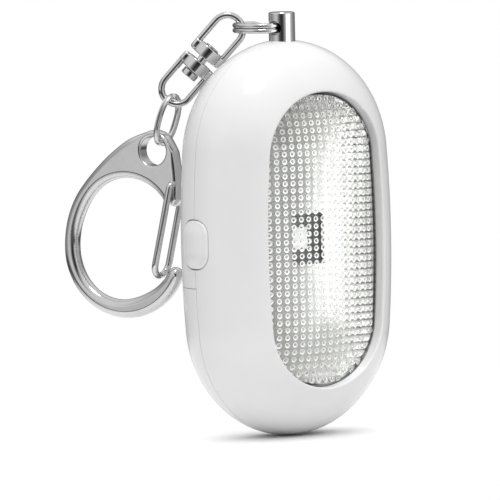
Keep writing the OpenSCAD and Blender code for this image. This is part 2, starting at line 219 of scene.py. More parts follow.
def emitterFinish():
    mat, tree, shader = clouded("emitterFace", 900, 2, [(0.3, (0.95, 0.94, 0.9)), (0.7, (0.98, 0.98, 0.96))])
    cloud = noise(tree, objectCoords(tree), 900, 2)
    fill(tree, shader, {"Roughness": span(tree, cloud, 0.25, 0.4)})
    return mat


def cutWireFinish():
    mat, tree, shader = clouded("diamondCutNickel", 300, 2, [(0.3, 0.7), (0.7, 0.76)])
    along = put(tree, "ShaderNodeAttribute", out="Fac", attribute_name="along")
    around = put(tree, "ShaderNodeAttribute", out="Fac", attribute_name="around")
    pair = put(tree, "ShaderNodeCombineXYZ", {"X": along, "Y": around})
    lines = noise(tree, put(tree, "ShaderNodeMapping", {"Vector": pair, "Scale": (60, 34, 1)}), 1.0, 3)
    fill(tree, shader, {"Roughness": span(tree, lines, 0.1, 0.2), "Metallic": 1.0})
    bump(tree, shader, lines, 0.15, 0.00004)
    return mat


caseWhite = plasticFinish("caseWhite", 0.87, 0.85, (0.13, 0.17), 5000)
blackPlastic = plasticFinish("blackPlastic", 0.05, 0.03, (0.4, 0.55), 3500)
rubber = plasticFinish("gasketRubber", 0.14, 0.11, (0.5, 0.65), 6000)
nickel = metalFinish("polishedNickel", 0.67, 0.62, (0.09, 0.15), depth=0.02)
brushed = metalFinish("brushedNickel", 0.66, 0.6, (0.12, 0.2), 3200, stretch=(1, 1, 0.06))
brushedFoot = metalFinish("brushedFoot", 0.66, 0.6, (0.28, 0.4), 2400, 0.1)
satin = metalFinish("satinNickel", 0.66, 0.61, (0.1, 0.16), 1600, 0.02)
cutWire = cutWireFinish()
screwSteel = metalFinish("screwSteel", 0.66, 0.56, (0.22, 0.4), 1800, 0.12)
cellSteel = metalFinish("cellSteel", 0.72, 0.64, (0.2, 0.32), 2600, 0.1, (0.05, 1, 1))
brass = metalFinish("contactBrass", (0.80, 0.60, 0.28), (0.70, 0.50, 0.21), (0.2, 0.34))
lensClear = clearFinish("lensClear", (0.975, 0.985, 0.98), (0.0, 0.03))
beadClear = clearFinish("beadClear", (0.97, 0.98, 0.975), (0.02, 0.06))
beadFrost = clearFinish("beadFrost", (0.97, 0.97, 0.94), (0.4, 0.5), 0.06)
boardGreen = boardFinish()
emitterFace = emitterFinish()
print("finishes:", len(bpy.data.materials))


# mesh helpers

def addObject(name, mesh, mats):
    made = bpy.data.objects.new(name, mesh)
    scene.collection.objects.link(made)
    mesh.materials.clear()
    for mat in mats if isinstance(mats, list) else [mats]:
        mesh.materials.append(mat)
    return made


def toMesh(name, bm):
    mesh = bpy.data.meshes.new(name)
    bm.to_mesh(mesh)
    bm.free()
    return mesh


def smoothed(mesh, degrees=35):
    mesh.shade_smooth()
    mesh.set_sharp_from_angle(angle=radians(degrees))
    return mesh


def cleaned(bm):
    bmesh.ops.remove_doubles(bm, verts=bm.verts, dist=1e-7)
    bmesh.ops.dissolve_degenerate(bm, edges=bm.edges, dist=1e-8)
    return bm


def solid(name, bm, mats, degrees=35):
    bmesh.ops.recalc_face_normals(cleaned(bm), faces=bm.faces)
    return addObject(name, smoothed(toMesh(name, bm), degrees), mats)


def baked(obj):
    dg = bpy.context.evaluated_depsgraph_get()
    mesh = bpy.data.meshes.new_from_object(obj.evaluated_get(dg))
    obj.modifiers.clear()
    old = obj.data
    obj.data = mesh
    bpy.data.meshes.remove(old)
    return obj


def cutWith(obj, cutters):
    for cutter in cutters:
        mod = obj.modifiers.new("cut", "BOOLEAN")
        mod.operation = "DIFFERENCE"
        mod.solver = "EXACT"
        mod.object = cutter
    baked(obj)
    for cutter in cutters:
        bpy.data.objects.remove(cutter)
    return obj


def joined(name, objs):
    bm = bmesh.new()
    mats = []
    for obj in objs:
        start = len(bm.faces)
        bm.from_mesh(obj.data)
        bm.faces.ensure_lookup_table()
        for face in bm.faces[start:]:
            mat = obj.data.materials[face.material_index]
            if mat not in mats:
                mats.append(mat)
            face.material_index = mats.index(mat)
    mesh = smoothed(toMesh(name, bm))
    for obj in objs:
        bpy.data.objects.remove(obj)
    return addObject(name, mesh, mats)


def skin(bm, rings, closed=False, capped=False):
    count = len(rings[0])
    for a, b in list(zip(rings, rings[1:])) + ([(rings[-1], rings[0])] if closed else []):
        for i in range(count):
            bm.faces.new([a[i], a[(i + 1) % count], b[(i + 1) % count], b[i]])
    if capped:
        bm.faces.new(rings[0])
        bm.faces.new(list(reversed(rings[-1])))


def lathe(name, profile, place, mats, steps=64, smooth=35):
    bm = bmesh.new()
    turns = [2 * pi * i / steps for i in range(steps)]
    rings = []
    for r, y in profile:  # radius and height along the axis
        if r < 1e-6:
            rings.append([bm.verts.new(place @ Vector((0, y, 0)) * mm)] * steps)
        else:
            rings.append([bm.verts.new(place @ Vector((r * cos(a), y, r * sin(a))) * mm) for a in turns])
    for a, b in zip(rings, rings[1:]):
        for i in range(steps):
            corners = [a[i], a[(i + 1) % steps], b[(i + 1) % steps], b[i]]
            corners = [c for n, c in enumerate(corners) if c not in corners[:n]]
            if len(corners) > 2:
                bm.faces.new(corners)
    return solid(name, bm, mats, smooth)


def rounded(points, r, steps=5):
    out = [points[0]]
    for a, b, c in zip(points, points[1:], points[2:]):
        a, b, c = Vector(a), Vector(b), Vector(c)
        reach = min(r, (a - b).length * 0.49, (c - b).length * 0.49)
        p, q = b + (a - b).normalized() * reach, b + (c - b).normalized() * reach
        out += [tuple(p * (1 - t) ** 2 + b * 2 * t * (1 - t) + q * t * t) for t in evenly(steps)]
    return out + [points[-1]]


def block(name, corner, size, edge, place=upright, mat=caseWhite):
    bm = bmesh.new()
    bmesh.ops.create_cube(bm, size=1)
    for vert in bm.verts:
        vert.co = Vector([corner[i] + size[i] * (vert.co[i] + 0.5) for i in range(3)])
    bmesh.ops.bevel(bm, geom=bm.edges[:], offset=edge, segments=3, profile=0.5, affect="EDGES")
    for vert in bm.verts:
        vert.co = place @ vert.co * mm
    return solid(name, bm, mat)


def rodCutter(place, d, low, high, steps=48):
    return lathe("rodCutter", [(0, low), (d / 2, low), (d / 2, high), (0, high)], place, caseWhite, steps)


def trueNormals(obj, degrees, wanted):
    mesh = smoothed(obj.data, degrees)
    normals = [Vector(c.vector) for c in mesh.corner_normals]
    true = [wanted(vert.co) for vert in mesh.vertices]
    for face in mesh.polygons:  # so that cut-outs don't pinch the gloss
        found = [true[i] for i in face.vertices]
        if all(found) and face.normal.dot(found[0]) > 0.9:
            for loop, normal in zip(face.loop_indices, found):
                normals[loop] = normal
    mesh.normals_split_custom_set(normals)
    return obj


# node trees

def startTree(name, inputs):
    kinds = {float: "NodeSocketFloat", int: "NodeSocketInt", type(None): "NodeSocketMaterial"}
    tree = bpy.data.node_groups.new(name, "GeometryNodeTree")
    tree.interface.new_socket("Geometry", in_out="INPUT", socket_type="NodeSocketGeometry")
    for label, value in inputs.items():
        made = tree.interface.new_socket(label, in_out="INPUT", socket_type=kinds[type(value)])
        if value is not None:
            made.default_value = value
    tree.interface.new_socket("Geometry", in_out="OUTPUT", socket_type="NodeSocketGeometry")
    return tree, tree.nodes.new("NodeGroupInput").outputs


def endTree(tree, given, geometry, coats):
    geometry = put(tree, "GeometryNodeRealizeInstances", {"Geometry": geometry})
    for label, chosen in coats.items():
        plugs = {"Geometry": geometry, "Selection": chosen, "Material": given[label]}
        geometry = put(tree, "GeometryNodeSetMaterial", plugs)
    put(tree, "NodeGroupOutput", {"Geometry": geometry}, None)
    return tree


def runTree(obj, tree, values):
    mod = obj.modifiers.new("shape", "NODES")
    mod.node_group = tree
    sockets = [s for s in tree.interface.items_tree if s.item_type == "SOCKET" and s.in_out == "INPUT"]
    names = {s.name: s.identifier for s in sockets}
    for label, value in values.items():
        mod[names[label]] = value
    return baked(obj)


def stored(tree, geometry, name, value, kind="FLOAT", domain="POINT"):
    plugs = {"Geometry": geometry, "Name": name, "Value": value}
    return put(tree, "GeometryNodeStoreNamedAttribute", plugs, data_type=kind, domain=domain)


def named(tree, name, kind):
    return put(tree, "GeometryNodeInputNamedAttribute", {"Name": name}, "Attribute", data_type=kind)


def wireTree():
    tree, given = startTree("wireAlongPath", {"Wire": 0.0006, "Around": 24, "Flutes": 0, "Groove": 0.0,
                                              "Finish": None})
    path = put(tree, "GeometryNodeMeshToCurve", {"Mesh": given["Geometry"]})
    path = stored(tree, path, "along", put(tree, "GeometryNodeSplineParameter", out="Length"))
    plugs = {"Radius": given["Wire"], "Resolution": given["Around"]}
    ring = put(tree, "GeometryNodeCurvePrimitiveCircle", plugs)
    angle = put(tree, "GeometryNodeSplineParameter", out="Factor")
    ring = stored(tree, ring, "around", angle)
    wave = calc(tree, "PINGPONG", calc(tree, "MULTIPLY", angle, given["Flutes"]), 0.5)
    dip = calc(tree, "MULTIPLY_ADD", wave, given["Groove"], 1.0)  # lengthwise cuts in the wire
    plugs = {0: put(tree, "GeometryNodeInputPosition"), "Scale": dip}
    place = put(tree, "ShaderNodeVectorMath", plugs, operation="SCALE")
    ring = put(tree, "GeometryNodeSetPosition", {"Geometry": ring, "Position": place})
    plugs = {"Curve": path, "Profile Curve": ring, "Fill Caps": True}
    tube = put(tree, "GeometryNodeCurveToMesh", plugs)
    smooth = put(tree, "GeometryNodeSetShadeSmooth", {"Geometry": tube})
    return endTree(tree, given, smooth, {"Finish": True})


wires = wireTree()


def wire(name, points, place, radius, mat, closed=False, around=28, flutes=0, groove=0.0):
    mesh = bpy.data.meshes.new(name)
    last = len(points) - 1
    edges = [(i, i + 1) for i in range(last)] + ([(last, 0)] if closed else [])
    spots = [Vector(p if len(p) == 3 else (*p, 0)) for p in points]
    mesh.from_pydata([place @ p * mm for p in spots], edges, [])
    obj = addObject(name, mesh, mat)
    values = {"Wire": radius * mm, "Around": around, "Flutes": flutes, "Groove": groove, "Finish": mat}
    runTree(obj, wires, values)
    obj.data.set_sharp_from_angle(angle=radians(50))
    return obj


# case

def outline(sides, ends):
    e, k, t = case["endC"], case["sideC"], case["turn"]
    arcs = [(-k, 0, case["sideR"], -t, t, sides), (0, e, case["endR"], t, pi - t, ends),
            (k, 0, case["sideR"], pi - t, pi + t, sides), (0, -e, case["endR"], pi + t, 2 * pi - t, ends)]
    out = []
    for cx, cy, r, start, end, count in arcs:
        for a in evenly(count, start, end)[:-1]:
            middle = cy if cx == 0 else e * (a / t if cx < 0 else (pi - a) / t)
            out.append((cx, cy, r, cos(a), sin(a), middle))
    return out


def caseRing(bm, inset, h, share=1.0, tuck=0.0, steps=(case["sides"], case["ends"])):
    ring = []
    for cx, cy, r, dx, dy, middle in outline(*steps):
        reach = r - inset - tuck * dy * dy  # a tuck draws in the two ends
        x, v = cx + reach * dx, cy + reach * dy
        ring.append(bm.verts.new(at(x * share, middle + (v - middle) * share, h)))
    return ring


def nearOutline(x, v):
    side = 1 if x >= 0 else -1
    if abs(atan2(v, side * x + case["sideC"])) <= case["turn"]:
        cx, cy, r = -side * case["sideC"], 0.0, case["sideR"]
    else:
        cx, cy, r = 0.0, case["endC"] if v > 0 else -case["endC"], case["endR"]
    d = hypot(x - cx, v - cy)
    return (x - cx) / d, (v - cy) / d, r - d


def polishCase(obj, radius, facing):
    def wanted(co):
        h = -co.y / mm - case["backR"]
        dx, dy, inset = nearOutline(co.x / mm, co.z / mm)
        out = radius - inset
        if h * facing > 0 and abs(hypot(out, h) - radius) < 0.012 and out > -0.01:
            return Vector((dx * out, -h, dy * out)).normalized()
        return None
    return trueNormals(obj, 35, wanted)


button = {"high": 8.9, "wide": 6.5, "corner": 0.86, "out": 0.72, "gap": 0.14, "edge": 0.55, "crown": 0.55,
          "depth": 4.0, "cut": (-30, -17.6), "room": 1.2, "foot": 1.8, "footX": (-18.9, -17.9)}
pin = {"d": 4.8, "up": 5.07, "hole": 2.6, "holeUp": 2.2, "plug": 3.2, "plugL": 8.6, "chamfer": 0.22,
       "yaw": 77.0, "gap": 0.1, "sunk": 1.4, "cut": (30, 40), "room": 7.2}
screws = {"head": 3.8, "shank": 2.0, "seat": -5.6, "postIn": 5.3, "post": 4.2, "postLow": -4.7,
          "postHigh": 6.4, "doorPostHigh": 5.2, "seatLow": -6.3, "seatHigh": -4.75,
          "seatWall": 1.6, "room": 0.4}
grille = {"v": 11.0, "h": -9.2, "hole": 1.6, "deep": 4.0, "rings": [(0, 1), (3, 6), (6, 12)]}
groove = {"half": 5.6, "run": 5.5, "deep": 1.0, "down": 3.4, "out": 0.45}
tongues = {"x": 8.0, "size": (4, 5.4, 1), "v": -10.4, "h": -8.3}
screwReach = solidW - screws["postIn"]
screwSites = [(s * screwReach * cos(pi / 6), 14.2 + screwReach * 0.5) for s in (-1, 1)]
doorSite = (0.0, -30.8)


def pillRing(bm, wide, high, x, steps=12):
    r = wide / 2 * button["corner"]
    ring = []
    for quarter, (sh, sv) in enumerate([(1, 1), (-1, 1), (-1, -1), (1, -1)]):
        for a in evenly(steps, pi / 2 * quarter, pi / 2 * (quarter + 1)):
            v, h = sv * (high / 2 - r) + r * sin(a), sh * (wide / 2 - r) + r * cos(a)
            ring.append(bm.verts.new(at(x, v, h)))
    return ring


def pillCutter(grow):
    bm = bmesh.new()
    w, v = button["wide"] + 2 * grow, button["high"] + 2 * grow
    skin(bm, [pillRing(bm, w, v, x) for x in button["cut"]], capped=True)
    return solid("pillCutter", bm, caseWhite)


def pinCutter(d):
    return rodCutter(upright, d, *pin["cut"])


def tube(name, place, outer, inner, low, high):
    corners = [(inner / 2, low), (outer / 2, low), (outer / 2, high), (inner / 2, high)]
    profile = rounded(corners, 0.12, 2)
    return lathe(name, profile + [profile[0]], place, caseWhite, 32)


def postAt(site):
    return upright @ shift(site[0], site[1]) @ turnBy("X", 90)  # axis along h


def post(site, high):
    return tube("post", postAt(site), screws["post"], screws["shank"] + 0.1, screws["postLow"], high)


def seatCutter(site):
    s = screws
    return rodCutter(postAt(site), s["head"] + s["room"], s["seat"] - 20, s["seat"], 40)


def seatTubes(site):
    s = screws
    outer = s["head"] + s["seatWall"]
    return [tube("seat", postAt(site), outer, s["head"] + s["room"], s["seatLow"], s["seat"] - 0.02),
            tube("seatFloor", postAt(site), outer, s["shank"] + 0.3, s["seat"], s["seatHigh"])]


def frontRing(bm, inset, h):
    c = case
    past = max(0.0, (h - c["liftFrom"]) / (c["frontR"] - c["liftFrom"]))  # the front swells towards the lens
    near = (inset - c["tuckFrom"]) / (c["margin"] - c["tuckFrom"])
    return caseRing(bm, inset, h + c["lift"] * past * past, 1.0, c["tuck"] * ease(near))


def frontShell():
    c = case
    bm = bmesh.new()
    r, inner, rim = c["frontR"], c["frontR"] - c["wall"], c["rimRound"]
    last = acos((r - c["margin"] + rim) / r)
    path = [(c["edge"] * 0.8, c["seam"]), (c["edge"] * 0.25, c["seam"] + 0.05)]
    path += [(r - r * cos(a), r * sin(a)) for a in evenly(30, c["first"], last)]
    rimTop = path[-1][1]
    for a in evenly(6, 0, pi / 2)[1:]:  # rolled rim round the lens
        h = rimTop + c["rimSwell"] * sin(2 * a) - rim * (1 - cos(a))
        path.append((c["margin"] - rim + rim * sin(a), h))
    back = acos((r - c["margin"]) / inner)
    path += [(r - inner * cos(a), inner * sin(a)) for a in evenly(16, back, 0)[:-1]]
    path += [(c["wall"], c["seam"])]
    skin(bm, [frontRing(bm, inset, h) for inset, h in path], closed=True)
    shell = solid("frontShell", bm, caseWhite)
    cutWith(shell, [pillCutter(button["gap"]), pinCutter(pin["d"] + 2 * pin["gap"])])
    polishCase(shell, r, 1)
    lip = bmesh.new()
    (outer, inside), (low, high) = c["lip"], c["lipH"]
    corners = [(outer, high), (outer, low), (inside, low), (inside, high)]
    skin(lip, [caseRing(lip, inset, h) for inset, h in corners], closed=True)
    posts = [post(site, screws["postHigh"]) for site in screwSites]
    posts.append(post(doorSite, screws["doorPostHigh"]))
    posts.append(cutWith(solid("lip", lip, caseWhite), [pillCutter(button["room"]), pinCutter(pin["room"])]))
    return shell, joined("frontShellPosts", posts)


def backMoulding():
    c = case
    bm = bmesh.new()
    r, inner = c["backR"], c["backR"] - c["wall"]
    path = [(c["edge"] * 0.8, -c["seam"], 1), (c["edge"] * 0.25, -c["seam"] - 0.05, 1)]
    path += [(r - r * cos(a), -r * sin(a), 1) for a in evenly(30, c["first"], pi / 2)]
    path += [(r, -r, share) for share in (0.75, 0.5, 0.25, 0.0)]
    inside = [(r, -inner, share) for share in (0.0, 0.3, 0.65)]
    inside += [(r - inner * cos(a), -inner * sin(a), 1) for a in evenly(14, pi / 2, 0)[:-1]]
    outer = [caseRing(bm, *step) for step in path]
    inside = [caseRing(bm, *step) for step in inside + [(c["wall"], -c["seam"], 1)]]
    skin(bm, outer)
    skin(bm, inside)
    skin(bm, [inside[-1], outer[0]])
    return bm


def halfOf(name, v, keepUpper):
    bm = cleaned(backMoulding())
    everything = bm.verts[:] + bm.edges[:] + bm.faces[:]
    bmesh.ops.bisect_plane(bm, geom=everything, plane_co=(0, 0, v * mm), plane_no=(0, 0, 1),
                           clear_inner=keepUpper, clear_outer=not keepUpper)
    bmesh.ops.holes_fill(bm, edges=[e for e in bm.edges if e.is_boundary], sides=0)
    return solid(name, bm, caseWhite)


def holesTree():
    tree, given = startTree("grilleHoles", {"Hole": 0.0008, "Depth": 0.004, "Finish": None})
    plugs = {"Vertices": 24, "Radius": given["Hole"], "Depth": given["Depth"]}
    rod = put(tree, "GeometryNodeMeshCylinder", plugs)
    plugs = {"Points": given["Geometry"], "Instance": rod, "Rotation": (pi / 2, 0, 0)}
    return endTree(tree, given, put(tree, "GeometryNodeInstanceOnPoints", plugs), {"Finish": True})


def grilleCutter():
    g = grille
    bm = bmesh.new()
    for r, count in g["rings"]:
        for a in evenly(count, 0, 2 * pi)[:-1]:
            bm.verts.new(at(r * cos(a), g["v"] + r * sin(a), g["h"]))
    obj = addObject("grilleCutter", toMesh("grilleCutter", bm), caseWhite)
    values = {"Hole": g["hole"] * mm / 2, "Depth": g["deep"] * mm, "Finish": caseWhite}
    return runTree(obj, holesTree(), values)


def backShell():
    t = tongues
    shell = halfOf("backShell", -case["doorDrop"] + case["seam"], True)
    holes = [pillCutter(button["gap"]), pinCutter(pin["d"] + 2 * pin["gap"]), grilleCutter()]
    cutWith(shell, holes + [seatCutter(site) for site in screwSites])
    polishCase(shell, case["backR"], -1)
    extra = [part for site in screwSites for part in seatTubes(site)]
    for s in (-1, 1):
        corner = (s * t["x"] - t["size"][0] / 2, t["v"], t["h"])
        extra.append(block("tongue", corner, t["size"], 0.15))
    return shell, joined("backShellPosts", extra)


def batteryDoor():
    g = groove
    door = halfOf("batteryDoor", -case["doorDrop"] - case["seam"], False)
    profile = [(g["deep"] * (1 - abs(y / g["half"]) ** 6) ** 0.5, y) for y in evenly(20, -g["run"], g["run"])]
    profile = [(0, -g["half"])] + profile + [(0, g["half"])]
    place = upright @ shift(0, -case["doorDrop"] - g["down"], -case["backR"] - g["out"]) @ turnBy("Z", 90)
    finger = lathe("groove", profile, place, caseWhite, 40)  # finger groove under the door's edge
    cutWith(door, [seatCutter(doorSite), finger])
    polishCase(door, case["backR"], -1)
    return door, joined("batteryDoorPost", seatTubes(doorSite))


front, frontPosts = frontShell()
back, backPosts = backShell()
door, doorPost = batteryDoor()
print("case:", sum(len(o.data.polygons) for o in (front, back, door)), "faces")


# button

def buttonCap():
    b = button
    bm = bmesh.new()
    top = -solidW - b["out"]
    rings = [pillRing(bm, b["wide"], b["high"], -solidW + b["depth"])]
    for a in evenly(8, 0, pi / 2):  # rounded edge
        inset = b["edge"] * (1 - cos(a))
        x = top + b["crown"] + b["edge"] * (1 - sin(a)) * 0.9
        rings.append(pillRing(bm, b["wide"] - 2 * inset, b["high"] - 2 * inset, x))
    flatW, flatV = b["wide"] - 2 * b["edge"], b["high"] - 2 * b["edge"]
    for share in evenly(8, 1, 0)[1:]:  # low crown
        wide = flatW * max(share, 0.002)
        rings.append(pillRing(bm, wide, flatV - flatW + wide, top + b["crown"] * share * share))
    skin(bm, rings, capped=True)
    foot = [pillRing(bm, b["wide"] + b["foot"], b["high"] + b["foot"], x) for x in b["footX"]]
    skin(bm, foot, capped=True)
    return solid("buttonCap", bm, caseWhite, 50)


cap = buttonCap()
print("button made")


# lens, beads and tray

lens = {"inset": 8.76, "crest": 12.15, "crownR": 37.0, "thick": 1.6, "edge": 0.22, "edgeFrom": 0.965,
        "tuck": 0.98, "skirt": 0.3, "lip": 1.73, "lipLow": 6.735, "lipHigh": 7.785}
gasket = {"round": 0.12, "path": [(7.3, 7.8), (7.3, 8.2), (8.25, 8.3), (8.28, 9.3), (8.44, 9.3), (8.6, 7.8)]}
beads = {"pitchX": 1.54, "pitchV": 1.325, "columns": 18, "rows": 41, "around": 14, "base": 0.52,
         "face": 0.27, "tall": 0.15, "reach": 12.0, "endIn": 0.6, "sunk": 0.012}
tray = {"rim": 8.28, "floor": 5.3, "thick": 0.6, "slack": 0.05, "rings": 24, "steps": (190, 210),
        "rise": 2.6, "riseAt": 24.0, "riseX": 164.0, "riseV": 125.0, "rib": 0.1,
        "ribFrom": 3.5, "ribRun": 7.5,
        "joint": 0.28, "paintedJointShade": 0.08, "foot": 1.9, "footH": (6.1, 6.68), "windowW": 7.0, "windowV": 9.2,
        "wellWall": 0.8, "wellLow": 2.85, "wellTall": 2.3, "wellFloor": 2.82}
emitter = {"wide": 3.5, "high": 4.0, "tall": 0.7, "face": 2.4}


def crownAt(d, drop=0.0):
    r = lens["crownR"] - drop
    return lens["crest"] - lens["crownR"] + sqrt(r * r - d * d)


def lensShell():
    c = lens
    bm = bmesh.new()
    half, inner, outer = case["endR"] - c["inset"], c["inset"] + c["skirt"], c["inset"] - c["lip"]
    rings = []
    for share in evenly(28):
        drop = c["edge"] * max(0, (share - c["edgeFrom"]) / (1 - c["edgeFrom"])) ** 2
        rings.append(caseRing(bm, c["inset"], crownAt(half * share) - drop, share, c["tuck"]))
    rings += [caseRing(bm, c["inset"], c["lipHigh"], 1.0, c["tuck"]), caseRing(bm, outer, c["lipHigh"]),
              caseRing(bm, outer, c["lipLow"]), caseRing(bm, inner, c["lipLow"], 1.0, c["tuck"])]
    for share in evenly(24, 1, 0):
        level = crownAt((half - c["skirt"]) * share, c["thick"])
        rings.append(caseRing(bm, inner, level, share, c["tuck"]))
    skin(bm, rings)
    return solid("clearLens", bm, lensClear, 40)


def lensGasket():
    bm = bmesh.new()
    path = rounded(gasket["path"], gasket["round"], 3)
    skin(bm, [caseRing(bm, inset, h, 1.0, lens["tuck"]) for inset, h in path], closed=True)
    return solid("lensGasket", bm, rubber)


def beadTree():
    tree, given = startTree("lensBeads", {
        "Pitch X": 0.0015, "Pitch V": 0.0013, "Columns": 17, "Rows": 41, "Base": 0.0005, "Face": 0.0003,
        "Tall": 0.0003, "Reach": 0.012, "End": 0.0147, "Crown": 0.0354, "Crest": 0.01, "Finish": None,
        "Frost": None})

    def do(kind, *values):
        return calc(tree, kind, *values)

    grid = put(tree, "GeometryNodeMeshGrid", {
        "Size X": do("MULTIPLY", do("SUBTRACT", given["Columns"], 1), given["Pitch X"]),
        "Size Y": do("MULTIPLY", do("SUBTRACT", given["Rows"], 1), given["Pitch V"]),
        "Vertices X": given["Columns"], "Vertices Y": given["Rows"]})
    parts = put(tree, "ShaderNodeSeparateXYZ", {0: put(tree, "GeometryNodeInputPosition")}, None)
    x, v, crown = parts["X"], parts["Y"], given["Crown"]
    past = do("MAXIMUM", do("SUBTRACT", do("ABSOLUTE", v), given["End"]), 0.0)
    away = do("SQRT", do("ADD", do("MULTIPLY", x, x), do("MULTIPLY", past, past)))
    drop = do("SQRT", do("SUBTRACT", do("MULTIPLY", crown, crown), do("MULTIPLY", away, away)))
    level = do("ADD", do("SUBTRACT", drop, crown), given["Crest"])
    plugs = {"Geometry": grid, "Selection": do("GREATER_THAN", away, given["Reach"])}
    points = put(tree, "GeometryNodeDeleteGeometry", plugs, domain="POINT")
    back = do("MULTIPLY", past, do("MULTIPLY", do("SIGN", v), -1))
    inward = put(tree, "ShaderNodeCombineXYZ", {"X": do("MULTIPLY", x, -1), "Y": drop, "Z": back})
    points = stored(tree, points, "inward", inward, "FLOAT_VECTOR")
    y = do("SUBTRACT", do("MULTIPLY", level, -1), case["backR"] * mm)
    place = put(tree, "ShaderNodeCombineXYZ", {"X": x, "Y": y, "Z": v})
    points = put(tree, "GeometryNodeSetPosition", {"Geometry": points, "Position": place})
    bead = put(tree, "GeometryNodeMeshCone", {
        "Vertices": beads["around"], "Radius Bottom": given["Base"], "Radius Top": given["Face"],
        "Depth": given["Tall"]}, None)
    bead = stored(tree, bead["Mesh"], "sides", bead["Side"], "BOOLEAN", "FACE")
    plugs = {"Vector": named(tree, "inward", "FLOAT_VECTOR")}
    aim = put(tree, "FunctionNodeAlignRotationToVector", plugs, axis="Z")
    plugs = {"Points": points, "Instance": bead, "Rotation": aim}
    placed = put(tree, "GeometryNodeInstanceOnPoints", plugs)
    smooth = put(tree, "GeometryNodeSetShadeSmooth", {"Geometry": placed})
    return endTree(tree, given, smooth, {"Finish": True, "Frost": named(tree, "sides", "BOOLEAN")})


def lensBeads():
    b = beads
    lengths = {"Pitch X": b["pitchX"], "Pitch V": b["pitchV"], "Base": b["base"], "Face": b["face"],
               "Tall": b["tall"], "Reach": b["reach"], "End": case["endC"] - b["endIn"],
               "Crown": lens["crownR"] - lens["thick"], "Crest": lens["crest"] - lens["thick"] - b["sunk"]}
    values = {label: length * mm for label, length in lengths.items()}
    values.update({"Columns": b["columns"], "Rows": b["rows"], "Finish": beadClear, "Frost": beadFrost})
    obj = addObject("lensBeads", bpy.data.meshes.new("lensBeads"), beadClear)
    runTree(obj, beadTree(), values)
    obj.data.set_sharp_from_angle(angle=radians(32))
    return obj


# silvered tray, with painted shade in the joints between its ribs on the right side
def trayFinish():
    t = tray
    mat = metalFinish("silveredTray", (0.66, 0.66, 0.637), (0.6, 0.6, 0.579), (0.22, 0.28), 1400, 0.03)
    tree = mat.node_tree
    base = tree.nodes["Principled BSDF"].inputs["Base Color"]
    parts = put(tree, "ShaderNodeSeparateXYZ", {0: objectCoords(tree)}, None)
    row = calc(tree, "PINGPONG", calc(tree, "DIVIDE", parts["Z"], beads["pitchV"] * mm), 0.5)
    # mask of the joints between bead rows, where the shade is painted
    joint = span(tree, row, start=t["joint"], end=0.5, kind="SMOOTHSTEP")
    first, last = t["ribFrom"] * mm, (t["ribFrom"] + t["ribRun"]) * mm
    # the painted shade is kept to the right side of the tray
    side = span(tree, parts["X"], start=first, end=last, kind="SMOOTHSTEP")
    dark = calc(tree, "MULTIPLY", joint, side)  # painted shade in the joints between the ribs, on the right side only
    tree.links.new(mixColours(tree, dark, base.links[0].from_socket, t["paintedJointShade"]), base)
    return mat


def reflectorTray():
    t = tray
    bm = bmesh.new()
    inset = lens["inset"] + lens["skirt"] + t["slack"]
    deep, under = t["rim"] - t["floor"], t["rim"] - t["thick"]
    more = (lens["tuck"], t["steps"])
    dish = [caseRing(bm, inset, t["rim"] - deep * (1 - s * s), s, *more) for s in evenly(t["rings"], 1, 0)]
    below = [caseRing(bm, inset, under - deep * (1 - s * s), s, *more) for s in evenly(t["rings"])]
    for vert in [vert for ring in dish + below for vert in ring]:
        x, v = vert.co.x / mm, vert.co.z / mm
        past = max(0, abs(v) - case["endC"])
        bowl = 1 - x * x / t["riseX"] - past * past / t["riseV"]  # the floor rises towards both ends
        vert.co.y -= min(t["rise"] * (v / t["riseAt"]) ** 2, t["rise"]) * bowl * mm
    for vert in [vert for ring in dish for vert in ring]:  # level ribs down both sides, one to a row of beads
        side = ease((abs(vert.co.x / mm) - t["ribFrom"]) / t["ribRun"])
        u = (vert.co.z / mm / beads["pitchV"] + 0.5) % 1 - 0.5
        vert.co.y += t["rib"] * 4 * u * u * side * mm
    low, high = t["footH"]
    corners = [(inset, low), (inset - t["foot"], low), (inset - t["foot"], high), (inset, high)]
    foot = [caseRing(bm, *corner, steps=t["steps"]) for corner in corners]
    skin(bm, dish)
    skin(bm, below[:-1] + foot + [dish[0]])
    obj = solid("reflectorTray", bm, trayFinish(), 30)
    w, v, wall, tall = t["windowW"], t["windowV"], t["wellWall"], t["wellTall"]
    cutWith(obj, [block("windowCutter", (-w / 2, -v / 2, 0), (w, v, 12), 0.2)])
    base, long = -v / 2 - wall, v + 2 * wall
    sides = [((-w / 2 - wall, base), (wall, long)), ((w / 2, base), (wall, long)),
             ((-w / 2, base), (w, wall)), ((-w / 2, v / 2), (w, wall))]
    well = [block("well", (*corner, t["wellLow"]), (*size, tall), 0.05, mat=blackPlastic)
            for corner, size in sides]
    well.append(block("wellFloor", (-w / 2, -v / 2, t["wellFloor"]), (w, v, 0.12), 0.04, mat=blackPlastic))
    return obj, joined("windowWell", well)


def emitterChip():
    e = emitter
    base = -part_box("led")[1][1] / mm - case["backR"]  # on the board
    corner, size = (-e["wide"] / 2, -e["high"] / 2, base), (e["wide"], e["high"], e["tall"])
    body = block("emitterBody", corner, size, 0.12, mat=emitterFace)
    r = e["face"] / 2
    dish = [(0, 0.04), (r, 0.04), (r + 0.12, 0.12), (r + 0.3, 0.12), (r + 0.3, -0.2), (0, -0.2)]
    place = upright @ shift(0, 0, base + e["tall"]) @ turnBy("X", 90)
    return joined("emitterChip", [body, lathe("emitterFace", dish, place, emitterFace, 40)])


clear = lensShell()
seal = lensGasket()
dots = lensBeads()
reflector, well = reflectorTray()
clear.visible_shadow = dots.visible_shadow = False  # lamps shine through the clear parts
chip = emitterChip()
print("lens:", len(dots.data.polygons), "bead faces")


# pull pin and chain

